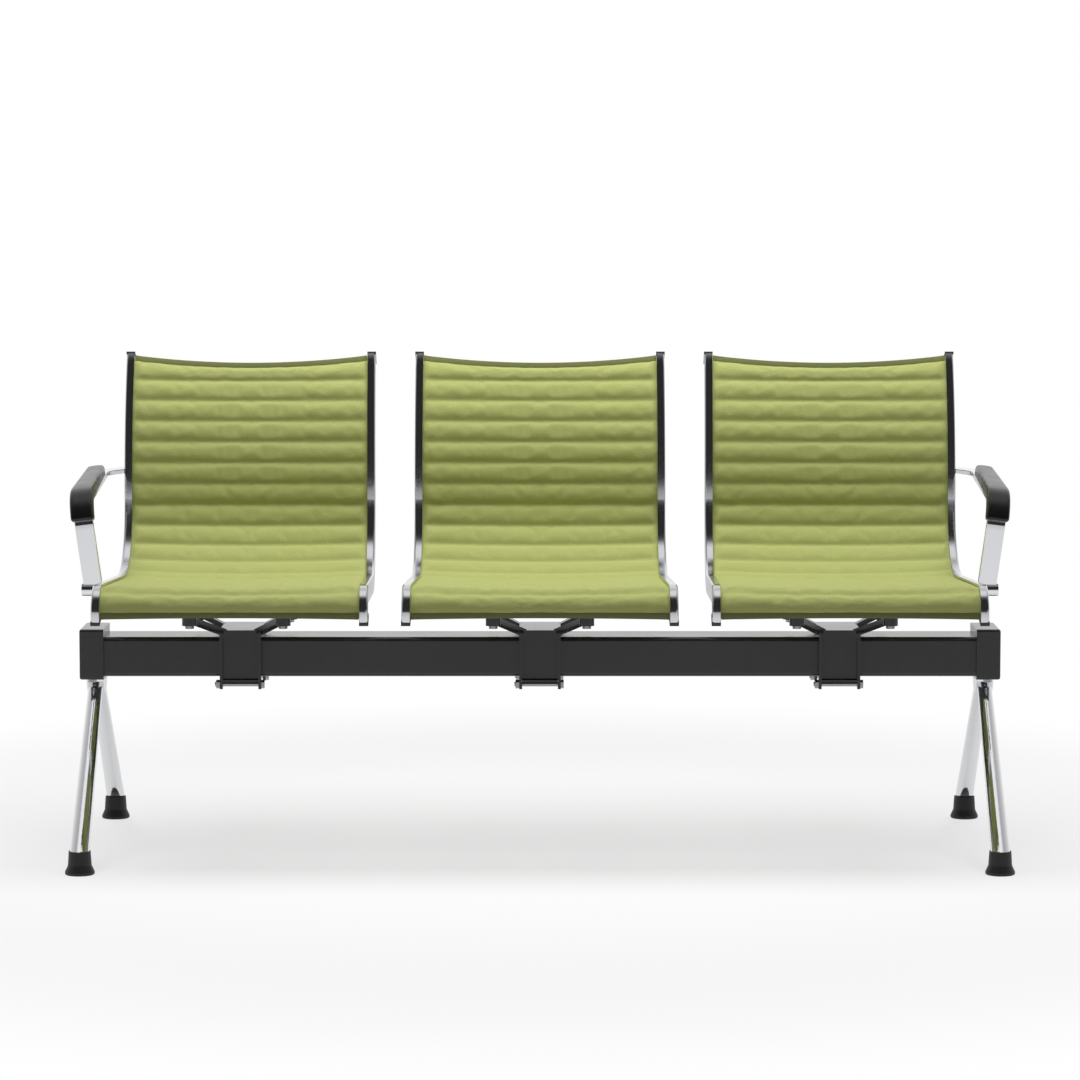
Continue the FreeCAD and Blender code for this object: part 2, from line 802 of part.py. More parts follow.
def arm_tilted(shape):
    """Tilts what was drawn upright about the loop's rear end and puts it at the right-hand rail."""
    shape = shape.copy()
    shape.translate(V(rail_outer_at(arm_rear[0]), 0, 0))
    shape.rotate(V(rail_outer_at(arm_rear[0]), 0, arm_rear[1]), V(0, 1, 0), arm_tilt)
    return shape


def rail_outer_at(y):
    return rail_face_at(y) + rail_width / math.cos(toe)


def arm_loop():
    """The right-hand loop: out from the back rail, forward, and down to the seat rail."""
    half = arm_thick / 2
    inner = arm_outside - arm_width
    strip = strip_face(-half, half).extrude(V(arm_width, 0, 0)).translated(V(inner, 0, 0))
    rear, _, _, d1, _ = arm_lines()
    up = V(0, d1.z, -d1.y)
    ring = [rear + up * half, rear + d1 * arm_width + up * half,
            rear + d1 * arm_width - up * half, rear - up * half]
    stub = Part.Face(Part.makePolygon(ring + ring[:1])).extrude(V(arm_outside + rail_width / 2, 0, 0))
    body = fuse_all([strip, stub.translated(V(-rail_width / 2, 0, 0))])
    corners = []
    for radius, x, place in ((arm_plan_corner, arm_outside, rear),
                             (arm_plan_inner, inner, rear + d1 * arm_width)):
        found = [e for e in long_edges(body, arm_thick)
                 if all(abs(v.Point.x - x) < same for v in e.Vertexes)
                 and all(abs(v.Point.y - place.y) < arm_thick for v in e.Vertexes)]
        corners.append((radius, found))
    for radius, found in corners:
        body = body.makeFillet(radius, found[:1])
    body = body.makeFillet(arm_rounding, [e for e in body.Edges if is_arm_rim(e)])
    body = arm_tilted(body)
    foot_y, foot_z = arm_foot
    brought_in = math.sin(math.radians(arm_tilt)) * (arm_rear[1] - foot_z)
    barrel_end = rail_outer_at(foot_y) + arm_outside - brought_in
    barrel = rod(arm_barrel, V(rail_inner, foot_y, foot_z), V(1, 0, 0), barrel_end - rail_inner)
    body = fuse_all([body, barrel])
    body = body.cut(inside_rail_outers)
    for y, z in (arm_rear, arm_foot):
        body = body.cut(rod(screw_radius + thread_clearance, V(rail_inner, y, z), V(1, 0, 0),
                            rail_outer_at(y) - rail_inner + arm_screw_depth + hole_past_end))
    for screw in pad_screws_upright(thread_clearance):
        body = body.cut(arm_tilted(screw))
    return body.translated(V(seat_pitch, 0, 0))


def is_arm_rim(edge):
    """True for the band's long edges, without the ones at the rail and at the foot."""
    _, _, foot, _, way = arm_lines()
    at_rail = all(v.X < same - rail_width / 2 for v in edge.Vertexes)
    at_foot = all(abs((v.Point - foot).dot(way)) < same for v in edge.Vertexes)
    return edge.Length > arm_thick + same and not at_rail and not at_foot


def with_arm_holes(side_rail):
    """The outer rail of an outer seat, drilled for the loop's two screws."""
    for y, z in (arm_rear, arm_foot):
        side_rail = side_rail.cut(rod(screw_radius + hole_clearance, V(0, y, z), V(1, 0, 0), far))
    return side_rail


def arm_pad():
    """The right-hand pad on the loop's run, its nose turned down over the bend."""
    share = pad_nose_turn / (90 + arm_front_lean - arm_fall)
    n0 = arm_thick / 2 + pad_gap
    (a, b, m, c), _ = arm_offset(n0, share)
    (e, f, g, h), _ = arm_offset(n0 + pad_thick, share)
    _, _, _, d1, _ = arm_lines()
    a = a + d1 * pad_back
    e = e + d1 * pad_back
    edges = [line(a, b), arc(b, m, c), line(c, h), arc(h, g, f), line(f, e), line(e, a)]
    middle = arm_outside - arm_width / 2
    body = Part.Face(Part.Wire(edges)).extrude(V(pad_width, 0, 0)).translated(V(middle - pad_width / 2, 0, 0))
    top = [edge for edge in body.Edges if is_pad_top(edge, f, g, h, e)]
    body = body.makeFillet(pad_rounding, top)
    for screw in pad_screws_upright(thread_clearance):
        body = body.cut(screw)
    return arm_tilted(body).translated(V(seat_pitch, 0, 0))


def is_pad_top(edge, *marks):
    """True for the edges round the pad's upper face."""
    return all(any(abs(v.Point.y - m.y) + abs(v.Point.z - m.z) < same for m in marks) for v in edge.Vertexes)


def pad_screws_upright(extra):
    """Screws up through the loop's run into the pad, drawn upright."""
    rear, _, _, d1, _ = arm_lines()
    up = V(0, d1.z, -d1.y)
    solids = []
    for k in (0, 1):
        run = pad_back + pad_screw_first + k * pad_screw_spacing
        foot = rear + d1 * run - up * (arm_thick / 2) + V(arm_outside - arm_width / 2, 0, 0)
        shank = rod(screw_radius + extra, foot, up, arm_thick + pad_gap + pad_screw_depth)
        top = rod(screw_head_radius, foot - up * screw_head, up, screw_head)
        solids.append(shank.fuse(top).removeSplitter())
    return solids


def arm_screws():
    """The right-hand loop's screws: two from inside the rail, two up into the pad."""
    solids = []
    for y, z in (arm_rear, arm_foot):
        face = rail_face_at(y)
        wedge = screw_head_radius * math.tan(toe)
        start = V(face - wedge, y, z)
        length = rail_outer_at(y) - face + wedge + arm_screw_depth
        shank = rod(screw_radius, start, V(1, 0, 0), length)
        top = rod(screw_head_radius, start - V(screw_head, 0, 0), V(1, 0, 0), screw_head)
        solids.append(shank.fuse(top).removeSplitter())
    solids += [arm_tilted(screw) for screw in pad_screws_upright(0.0)]
    return [solid.translated(V(seat_pitch, 0, 0)) for solid in solids]


def model():
    """Every sub-part by name."""
    parts = {"beam": beam()}
    head_right = head()
    hub_right = hub()
    foot_pieces = (("leg", front_leg()), ("foot_socket", foot_socket()),
                   ("glide_base", glide_base()), ("glide_stud", glide_stud()))
    for side, flip in (("right", False), ("left", True)):
        turn = mirrored if flip else (lambda shape: shape)
        parts[side + "_head"] = turn(head_right)
        parts[side + "_leg_hub"] = turn(hub_right)
        for end, back in (("front", False), ("rear", True)):
            for name, shape in foot_pieces:
                placed = shape.mirror(V(0, 0, 0), V(0, 1, 0)) if back else shape
                parts["%s_%s_%s" % (side, end, name)] = turn(placed)
        parts[side + "_arm_loop"] = turn(arm_loop())
        parts[side + "_arm_pad"] = turn(arm_pad())
    parts["head_screws"] = Part.makeCompound(head_screws())

    rails = {"left": rail(-1), "right": rail(1)}
    drilled = {"left": mirrored(with_arm_holes(rails["right"])), "right": with_arm_holes(rails["right"])}
    sling_solid = sling()
    front_bar = with_bolt_holes(spreader(front_spreader_along, spreader_drop), front_spreader_along)
    rear_bar = with_bolt_holes(spreader(rear_spreader_along, spreader_drop), rear_spreader_along)
    back_bar = spreader(back_spreader_along, back_spreader_drop)
    seat = {
        "sling": sling_solid,
        "rail_caps": rail_caps(),
        "front_spreader": front_bar,
        "rear_spreader": rear_bar,
        "back_spreader": back_bar,
        "saddle": saddle(),
        "clamp_plate": clamp_plate(),
    }
    groups = {"spreader_screws": spreader_screws(), "clamp_bolts": clamp_bolts(), "yoke_bolts": yoke_bolts()}
    gathered = {name: [] for name in groups}
    for place, step in seat_places:
        shift = V(step * seat_pitch, 0, 0)
        for name, shape in seat.items():
            parts["%s_seat_%s" % (place, name)] = shape.translated(shift)
        for side, shape in rails.items():
            outer = drilled[side] if place == side else shape
            parts["%s_seat_%s_rail" % (place, side)] = outer.translated(shift)
        for name, solids in groups.items():
            gathered[name] += [solid.translated(shift) for solid in solids]
    for name, solids in gathered.items():
        parts[name] = Part.makeCompound(solids)
    screws = arm_screws()
    parts["arm_screws"] = Part.makeCompound(screws + [mirrored(solid) for solid in screws])
    return parts


os.makedirs("parts", exist_ok=True)
for part_name, part_shape in model().items():
    part_shape.exportStep("parts/%s.step" % part_name)
    print("%-28s solids %2d valid %s volume %9.0f" % (
        part_name, len(part_shape.Solids), part_shape.isValid(), part_shape.Volume))
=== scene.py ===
import math

import bpy
from mathutils import Matrix, Vector


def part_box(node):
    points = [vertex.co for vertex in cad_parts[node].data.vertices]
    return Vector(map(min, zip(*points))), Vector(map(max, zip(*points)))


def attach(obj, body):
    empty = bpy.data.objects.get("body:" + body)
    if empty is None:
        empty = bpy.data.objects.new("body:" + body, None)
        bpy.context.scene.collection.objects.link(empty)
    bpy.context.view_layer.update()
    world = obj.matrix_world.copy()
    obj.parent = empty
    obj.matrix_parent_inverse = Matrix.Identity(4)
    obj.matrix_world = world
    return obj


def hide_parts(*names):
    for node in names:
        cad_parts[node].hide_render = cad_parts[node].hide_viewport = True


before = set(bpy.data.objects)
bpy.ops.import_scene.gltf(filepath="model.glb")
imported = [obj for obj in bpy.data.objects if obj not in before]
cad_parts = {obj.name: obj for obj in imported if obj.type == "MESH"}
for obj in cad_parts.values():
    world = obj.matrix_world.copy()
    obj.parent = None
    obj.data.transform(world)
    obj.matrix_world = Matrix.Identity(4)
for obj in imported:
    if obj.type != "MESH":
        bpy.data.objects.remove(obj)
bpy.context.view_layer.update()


# The beam is a welded rectangular steel tube, and the heads are cast sleeves over its two ends.
# Both are powder coated: a satin black skin with a fine orange peel.
def linear(hex_colour):
    """The linear colour of an sRGB hex value such as 2A2B2C."""
    parts = [int(hex_colour[i:i + 2], 16) / 255 for i in (0, 2, 4)]
    return tuple(c / 12.92 if c <= 0.04045 else ((c + 0.055) / 1.055) ** 2.4 for c in parts) + (1.0,)


def new_material(name):
    """An empty node tree, its shader and the object's own coordinates."""
    made = bpy.data.materials.new(name)
    made.use_nodes = True
    tree = made.node_tree
    shader = tree.nodes["Principled BSDF"]
    place = tree.nodes.new("ShaderNodeTexCoord").outputs["Object"]
    return made, tree, shader, place


def add(tree, kind, links=(), values=(), **settings):
    """One node with its settings, its links by input name or number, and its plain values."""
    node = tree.nodes.new(kind)
    for name, value in settings.items():
        setattr(node, name, value)
    for name, value in dict(values).items():
        node.inputs[name].default_value = value
    for name, source in dict(links).items():
        tree.links.new(source, node.inputs[name])
    return node


def paint(names, material):
    """Gives CAD nodes their finish."""
    for name in names:
        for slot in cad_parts[name].material_slots:
            slot.material = material


powder, tree, shader, place = new_material("black powder coat")
shader.inputs["IOR"].default_value = 1.5
shader.inputs["Metallic"].default_value = 0.0
peel_size = 0.0016
peel = add(tree, "ShaderNodeTexNoise", {"Vector": place}, {"Scale": 1 / peel_size, "Detail": 2.0})
cloud = add(tree, "ShaderNodeTexNoise", {"Vector": place}, {"Scale": 14.0, "Detail": 3.0})
tone = add(tree, "ShaderNodeMix", {"Factor": cloud.outputs["Fac"]}, data_type="RGBA")
tone.inputs["A"].default_value = linear("242526")
tone.inputs["B"].default_value = linear("2E2F30")
gloss = add(tree, "ShaderNodeMapRange", {"Value": cloud.outputs["Fac"]}, {"To Min": 0.14, "To Max": 0.22})
bump = add(tree, "ShaderNodeBump", {"Height": peel.outputs["Fac"]}, {"Strength": 0.25, "Distance": 0.0002})
tree.links.new(tone.outputs["Result"], shader.inputs["Base Color"])
tree.links.new(gloss.outputs["Result"], shader.inputs["Roughness"])
tree.links.new(bump.outputs["Normal"], shader.inputs["Normal"])

sides = ("left", "right")
ends = ("front", "rear")
seats = ("left", "middle", "right")
paint(["beam"] + ["%s_head" % side for side in sides], powder)


# The legs are tapered oval steel tubes that meet at a hub under each head. All of it is bright
# chrome over polished steel: a clear mirror, with faint haze where hands and cloths have been.
chrome, tree, shader, place = new_material("bright chrome")
shader.inputs["Base Color"].default_value = linear("E4E5E8")
shader.inputs["Metallic"].default_value = 1.0
smear = add(tree, "ShaderNodeTexNoise", {"Vector": place}, {"Scale": 9.0, "Detail": 4.0})
gloss = add(tree, "ShaderNodeMapRange", {"Value": smear.outputs["Fac"]}, {"To Min": 0.03, "To Max": 0.13})
tree.links.new(gloss.outputs["Result"], shader.inputs["Roughness"])
paint(["%s_leg_hub" % side for side in sides], chrome)
paint(["%s_%s_leg" % (side, end) for side in sides for end in ends], chrome)


# Feet: a moulded nylon collar plugs each leg, and a flared nylon glide screws up into it on a
# zinc-plated stud. The nylon is matt with a fine spark-eroded grain.
nylon, tree, shader, place = new_material("moulded black nylon")
shader.inputs["IOR"].default_value = 1.53
grain_size = 0.0007
grain = add(tree, "ShaderNodeTexNoise", {"Vector": place}, {"Scale": 1 / grain_size, "Detail": 2.0})
cloud = add(tree, "ShaderNodeTexNoise", {"Vector": place}, {"Scale": 30.0, "Detail": 2.0})
tone = add(tree, "ShaderNodeMix", {"Factor": cloud.outputs["Fac"]}, data_type="RGBA")
tone.inputs["A"].default_value = linear("1C1C1D")
tone.inputs["B"].default_value = linear("29292A")
gloss = add(tree, "ShaderNodeMapRange", {"Value": grain.outputs["Fac"]}, {"To Min": 0.48, "To Max": 0.62})
bump = add(tree, "ShaderNodeBump", {"Height": grain.outputs["Fac"]}, {"Strength": 0.3, "Distance": 0.0002})
tree.links.new(tone.outputs["Result"], shader.inputs["Base Color"])
tree.links.new(gloss.outputs["Result"], shader.inputs["Roughness"])
tree.links.new(bump.outputs["Normal"], shader.inputs["Normal"])
paint(["%s_%s_%s" % (side, end, piece) for side in sides for end in ends
       for piece in ("foot_socket", "glide_base")], nylon)

zinc, tree, shader, place = new_material("zinc-plated steel")
shader.inputs["Metallic"].default_value = 1.0
frost = add(tree, "ShaderNodeTexNoise", {"Vector": place}, {"Scale": 260.0, "Detail": 3.0})
tone = add(tree, "ShaderNodeMix", {"Factor": frost.outputs["Fac"]}, data_type="RGBA")
tone.inputs["A"].default_value = linear("9A9C9F")
tone.inputs["B"].default_value = linear("B9BBBA")
gloss = add(tree, "ShaderNodeMapRange", {"Value": frost.outputs["Fac"]}, {"To Min": 0.24, "To Max": 0.42})
tree.links.new(tone.outputs["Result"], shader.inputs["Base Color"])
tree.links.new(gloss.outputs["Result"], shader.inputs["Roughness"])
paint(["%s_%s_glide_stud" % (side, end) for side in sides for end in ends], zinc)
paint(["head_screws", "clamp_bolts", "yoke_bolts", "spreader_screws", "arm_screws"], zinc)


# Under each seat a welded saddle straddles the beam, clamped from below by a plate and two cross
# bolts. Saddle and plate are powder coated with the beam.
paint(["%s_seat_%s" % (seat, piece) for seat in seats for piece in ("saddle", "clamp_plate")], powder)


# Side rails and spreaders are cast aluminium, ground and then polished along their length, which
# leaves a mirror that is drawn out a little along the grain. Black nylon caps close the rails.
aluminium, tree, shader, place = new_material("polished cast aluminium")
shader.inputs["Base Color"].default_value = linear("D2D3D6")
shader.inputs["Metallic"].default_value = 1.0
shader.inputs["Anisotropic"].default_value = 0.3
buffing = add(tree, "ShaderNodeTexNoise", {"Vector": place}, {"Scale": 120.0, "Detail": 4.0})
gloss = add(tree, "ShaderNodeMapRange", {"Value": buffing.outputs["Fac"]}, {"To Min": 0.10, "To Max": 0.22})
tree.links.new(gloss.outputs["Result"], shader.inputs["Roughness"])
paint(["%s_seat_%s_rail" % (seat, side) for seat in seats for side in sides], aluminium)
paint(["%s_seat_%s_spreader" % (seat, place_name) for seat in seats
       for place_name in ("front", "rear", "back")], aluminium)
paint(["%s_seat_rail_caps" % seat for seat in seats], nylon)


# The slings: two layers of woven wool cloth over thin foam, sewn through in channels across the
# seat. Each is held along its sides in the rails' grooves, hangs a little between them, and runs
# in one piece from the front roll to the top of the back.
seat_front = 0.312
seat_height = 0.482
roll_radius = 0.038
roll_turn = math.radians(110.0)
seat_fall = math.radians(3.2)
seat_run = 0.338
bend_radius = 0.130
back_radius = 0.585
back_lean = math.radians(24.0)
curl_radius = 0.080
curl_turn = math.radians(14.0)
rail_inner = 0.2135
rail_toe = math.radians(0.8)
sling_tongue = 0.0056
sling_start = 0.004
sling_end_gap = 0.002
sling_hem = 0.009
sling_sag = 0.006
top_sag = 0.012
rib_pitch = 0.0384
rib_crown = 0.0060
rib_under = 0.0041
seam_half = 0.0009  # half of the cloth's thickness where it is sewn through
edge_half = 0.0017
edge_taper = 0.016
rows_per_rib = 8
columns = 60
most_moved = 0.003  # how far the foam may push the cloth off its cut shape
settle_frames = 20


def on_span(span, distance):
    """Y, Z and heading at a distance from a span's start."""
    _, y, z, heading, curve = span
    if curve == 0.0:
        return y + distance * math.cos(heading), z + distance * math.sin(heading), heading
    turned = heading + curve * distance
    y += (math.sin(turned) - math.sin(heading)) / curve
    z -= (math.cos(turned) - math.cos(heading)) / curve
    return y, z, turned


# The seat's line, seen from the side, as spans of constant curvature with their starts.
spans = []
heading = roll_turn
y = -seat_front + roll_radius - roll_radius * math.sin(heading)
z = seat_height - roll_radius * (1 - math.cos(heading))
seat_length = 0.0
for length, curve in (
    ((roll_turn + seat_fall) * roll_radius, -1 / roll_radius),
    (seat_run, 0.0),
    ((math.radians(90) + seat_fall) * bend_radius, 1 / bend_radius),
    (back_lean * back_radius, -1 / back_radius),
    (curl_turn * curl_radius, -1 / curl_radius),
):
    spans.append((seat_length, y, z, heading, curve))
    y, z, heading = on_span(spans[-1], length)
    seat_length += length

first_seam = sling_start + sling_hem
last_seam = seat_length - sling_end_gap - sling_hem
ribs = round((last_seam - first_seam) / rib_pitch)
rib_step = (last_seam - first_seam) / ribs
row_step = rib_step / rows_per_rib
row_places = [sling_start, sling_start + sling_hem / 2]
row_places += [first_seam + k * row_step for k in range(ribs * rows_per_rib + 1)]
row_places += [last_seam + sling_hem / 2, last_seam + sling_hem]


def at(s):
    """Y, Z and heading at s along the seat's line."""
    span = [p for p in spans if p[0] <= s][-1]
    return on_span(span, s - span[0])


def hung(x, s, n):
    """Where the point x, s of the flat cloth hangs, n to the sitter's side of its middle."""
    y, z, heading = at(s)
    share = max(0.0, 1 - (x / rail_inner) ** 2)
    dip = top_sag * share * min(1.0, max(0.0, (s - last_seam) / rib_step + 1))
    n -= sling_sag * share
    turn = rail_toe * x / rail_inner
    y -= n * math.sin(heading) + dip * math.cos(heading)
    z += n * math.cos(heading) - dip * math.sin(heading)
    return x - y * math.sin(turn), y * math.cos(turn), z


def padding(x, s, side):
    """Half the sling's thickness at x, s: full between two seams, and thin at a seam or a rail."""
    along = (s - first_seam) / rib_step
    between = first_seam <= s <= last_seam
    bulge = math.sqrt(max(0.0, 1 - (2 * (along % 1.0) - 1) ** 2)) if between else 0.0
    inwards = min(1.0, max(0.0, (rail_inner - abs(x)) / edge_taper))
    soft = math.sin(inwards * math.pi / 2)
    thin = edge_half + (seam_half - edge_half) * soft
    full = rib_crown if side > 0 else rib_under
    return thin + (full - thin) * bulge * soft


def only(piece):
    """Makes a piece the only one selected and active."""
    bpy.ops.object.select_all(action="DESELECT")
    piece.select_set(True)
    bpy.context.view_layer.objects.active = piece


def finish_with(piece, kind, **settings):
    """Adds a modifier to a piece and applies it."""
    only(piece)
    modifier = piece.modifiers.new(kind.lower(), kind)
    for name, value in settings.items():
        setattr(modifier, name, value)
    bpy.ops.object.modifier_apply(modifier=modifier.name)


def flat_sheet(name, width, cells_across, length, cells_along):
    """A sheet of cloth laid out flat, centred on X, its first row at Y = 0."""
    bpy.ops.object.select_all(action="DESELECT")
    bpy.ops.mesh.primitive_grid_add(x_subdivisions=cells_across, y_subdivisions=cells_along, size=1.0)
    sheet = bpy.context.object
    sheet.name = name
    bpy.ops.object.mode_set(mode="EDIT")
    bpy.ops.transform.translate(value=(0, 0.5, 0))
    bpy.ops.transform.resize(value=(width, length, 1), center_override=(0, 0, 0))
    bpy.ops.object.mode_set(mode="OBJECT")
    return sheet


def keep_flat_place(piece):
    """Writes each point's place on the flat cloth to the mesh, for the weave to follow."""
    places = [v.co[:] for v in piece.data.vertices]
    kept = piece.data.attributes.new("cloth", "FLOAT_VECTOR", "POINT")
    kept.data.foreach_set("vector", [c for p in places for c in p])


half_width = rail_inner + sling_tongue
sling = flat_sheet("middle_padded_sling", 2 * half_width, columns, 1.0, len(row_places) - 1)
for index, vertex in enumerate(sling.data.vertices):
    vertex.co.y = row_places[index // (columns + 1)]
sewn = sling.vertex_groups.new(name="sewn")
for index, vertex in enumerate(sling.data.vertices):
    row = index // (columns + 1) - 2
    on_seam = row % rows_per_rib == 0
    on_hem = row < 0 or row > ribs * rows_per_rib
    if on_seam or on_hem or abs(vertex.co.x) > rail_inner - edge_half:
        sewn.add([index], 1.0, "REPLACE")
keep_flat_place(sling)

# A second layer, and then both layers are stuffed and hung between the rails.
upper_points = len(sling.data.vertices)
finish_with(sling, "SOLIDIFY", thickness=2 * seam_half, offset=0.0)
flat_points = [p.vector[:2] for p in sling.data.attributes["cloth"].data]
for index, vertex in enumerate(sling.data.vertices):
    x, s = flat_points[index]
    side = 1 if index < upper_points else -1
    vertex.co = hung(x, s, side * padding(x, s, side))

# The foam pushes the cloth out between the seams, and the spare width puckers it.
cut_shape = [v.co.copy() for v in sling.data.vertices]
puff = sling.modifiers.new("foam", "CLOTH")
puff.settings.quality = 6
puff.settings.mass = 0.2
puff.settings.tension_stiffness = 20.0
puff.settings.compression_stiffness = 20.0
puff.settings.shear_stiffness = 8.0
puff.settings.bending_stiffness = 0.3
puff.settings.use_pressure = True
puff.settings.uniform_pressure_force = 5.0
puff.settings.vertex_group_mass = "sewn"
puff.settings.shrink_min = -0.010
puff.settings.effector_weights.gravity = 0.0
puff.point_cache.frame_start = 1
puff.point_cache.frame_end = settle_frames
for step in range(1, settle_frames + 1):
    bpy.context.scene.frame_set(step)
only(sling)
bpy.ops.object.modifier_apply(modifier=puff.name)
bpy.context.scene.frame_set(1)
for vertex, cut in zip(sling.data.vertices, cut_shape):
    moved = vertex.co - cut
    if moved.length > most_moved:
        vertex.co = cut + moved * (most_moved / moved.length)

finish_with(sling, "SUBSURF", levels=1, render_levels=1)
bpy.ops.object.shade_smooth()

cloth, tree, shader, place = new_material("olive wool cloth")
shader.inputs["Roughness"].default_value = 0.9
shader.inputs["Specular IOR Level"].default_value = 0.25
shader.inputs["Sheen Weight"].default_value = 0.12
shader.inputs["Sheen Roughness"].default_value = 0.5
thread_pitch = 0.0016  # about twice that of such a cloth, so that it shows
flat = add(tree, "ShaderNodeAttribute", attribute_name="cloth").outputs["Vector"]
weave = add(tree, "ShaderNodeVectorMath", {0: flat}, {1: (2 * math.pi / thread_pitch,) * 3},
            operation="MULTIPLY")
axes = add(tree, "ShaderNodeSeparateXYZ", {0: weave.outputs[0]})
warp = add(tree, "ShaderNodeMath", {0: axes.outputs["X"]}, operation="SINE")
weft = add(tree, "ShaderNodeMath", {0: axes.outputs["Y"]}, operation="SINE")
cross = add(tree, "ShaderNodeMath", {0: warp.outputs[0], 1: weft.outputs[0]}, operation="MULTIPLY")
slub = add(tree, "ShaderNodeTexNoise", {"Vector": flat}, {"Scale": 420.0, "Detail": 3.0})
wear = add(tree, "ShaderNodeTexNoise", {"Vector": flat}, {"Scale": 9.0, "Detail": 4.0})
height = add(tree, "ShaderNodeMath", {0: cross.outputs[0], 1: slub.outputs["Fac"]}, operation="ADD")
yarn = add(tree, "ShaderNodeMix", {"Factor": slub.outputs["Fac"]}, data_type="RGBA")
yarn.inputs["A"].default_value = linear("8D9350")
yarn.inputs["B"].default_value = linear("B9BE79")
dust = add(tree, "ShaderNodeMapRange", {"Value": wear.outputs["Fac"]}, {"To Min": 0.0, "To Max": 0.3})
tone = add(tree, "ShaderNodeMix", {"Factor": dust.outputs["Result"], "A": yarn.outputs["Result"]},
           data_type="RGBA")
tone.inputs["B"].default_value = linear("A0A868")
bump = add(tree, "ShaderNodeBump", {"Height": height.outputs[0]}, {"Strength": 0.4, "Distance": 0.0003})
tree.links.new(tone.outputs["Result"], shader.inputs["Base Color"])
tree.links.new(bump.outputs["Normal"], shader.inputs["Normal"])
sling.data.materials.append(cloth)

seat_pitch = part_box("right_seat_saddle")[0].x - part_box("middle_seat_saddle")[0].x
seat_steps = {"left": -seat_pitch, "middle": 0.0, "right": seat_pitch}


def for_each_seat(middle_piece, name):
    """The middle seat's piece and a copy of it at each outer seat, by seat."""
    found = {"middle": middle_piece}
    for seat in ("left", "right"):
        only(middle_piece)
        bpy.ops.object.duplicate_move(TRANSFORM_OT_translate={"value": (seat_steps[seat], 0, 0)})
        bpy.ops.object.transform_apply(location=True)
        found[seat] = bpy.context.object
        found[seat].name = "%s_%s" % (seat, name)
    return found


for seat, piece in for_each_seat(sling, "padded_sling").items():
    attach(piece, "bench")
    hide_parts("%s_seat_sling" % seat)


# Each sling's two ends are bound with a folded tape, sewn on over the raw edge. Its olive is darker than the
# cloth's as painted shade along the ends.
tape_thick = 0.0009
tape_side_gap = 0.0015  # from the tape's end to the rail
tape_side = rail_inner - tape_side_gap
tape_past_hem = 0.001
tape_edge = 0.0004
tape, tree, shader, place = new_material("binding tape with painted shade")
shader.inputs["Roughness"].default_value = 0.8
shader.inputs["Sheen Weight"].default_value = 0.15
rep_pitch = 0.0012
flat = add(tree, "ShaderNodeAttribute", attribute_name="cloth").outputs["Vector"]
reps = add(tree, "ShaderNodeVectorMath", {0: flat}, {1: (2 * math.pi / rep_pitch,) * 3},
           operation="MULTIPLY")
axes = add(tree, "ShaderNodeSeparateXYZ", {0: reps.outputs[0]})
ridge = add(tree, "ShaderNodeMath", {0: axes.outputs["X"]}, operation="SINE")
fuzz = add(tree, "ShaderNodeTexNoise", {"Vector": flat}, {"Scale": 300.0, "Detail": 3.0})
# Both tones are darker than the cloth's: painted shade along the sling's ends, with a random fuzz between them.
tone = add(tree, "ShaderNodeMix", {"Factor": fuzz.outputs["Fac"]}, data_type="RGBA")
tone.inputs["A"].default_value = linear("565B30")
tone.inputs["B"].default_value = linear("6E733F")
bump = add(tree, "ShaderNodeBump", {"Height": ridge.outputs[0]}, {"Strength": 0.4, "Distance": 0.0002})
tree.links.new(tone.outputs["Result"], shader.inputs["Base Color"])
tree.links.new(bump.outputs["Normal"], shader.inputs["Normal"])

for end, raw_edge, inwards in (("front", sling_start, 1), ("top", last_seam + sling_hem, -1)):
    over_edge = raw_edge - inwards * tape_thick
    hem_line = raw_edge + inwards * (sling_hem + tape_past_hem)
    profile = [(hem_line, 1), ((hem_line + raw_edge) / 2, 1), (over_edge, 1), (over_edge, -1),
               ((hem_line + raw_edge) / 2, -1), (hem_line, -1)]
    strip = flat_sheet("middle_%s_binding" % end, 2 * tape_side, columns, 1.0, len(profile) - 1)
    for index, vertex in enumerate(strip.data.vertices):
        vertex.co.y = profile[index // (columns + 1)][0]
    keep_flat_place(strip)
    for index, vertex in enumerate(strip.data.vertices):
        s, side = profile[index // (columns + 1)]
        thick = padding(vertex.co.x, raw_edge, side) + tape_thick / 2
        vertex.co = hung(vertex.co.x, s, side * thick)
    finish_with(strip, "SOLIDIFY", thickness=tape_thick, offset=0.0)
    finish_with(strip, "BEVEL", width=tape_edge, segments=2, limit_method="ANGLE")
    bpy.ops.object.shade_smooth_by_angle(angle=math.radians(50))
    strip.data.materials.append(tape)
    for seat, piece in for_each_seat(strip, "%s_binding" % end).items():
        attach(piece, "bench")


# The channels and bindings are lockstitched with bonded polyester thread: a short stitch every
# five millimetres, on both faces of the sling.
stitch_pitch = 0.005
stitch_length = 0.0038
thread_radius = 0.0004
stitch_sink = 0.0003
stitches_across = int(2 * (rail_inner - edge_taper) / stitch_pitch)
thread, tree, shader, place = new_material("bonded olive thread")
shader.inputs["Roughness"].default_value = 0.5
ply_pitch = 0.0006
twist = add(tree, "ShaderNodeTexWave", {"Vector": place}, {"Scale": 1 / ply_pitch, "Distortion": 1.0},
            bands_direction="DIAGONAL")
tone = add(tree, "ShaderNodeMix", {"Factor": twist.outputs["Fac"]}, data_type="RGBA")
tone.inputs["A"].default_value = linear("6C7138")
tone.inputs["B"].default_value = linear("8E9450")
tree.links.new(tone.outputs["Result"], shader.inputs["Base Color"])

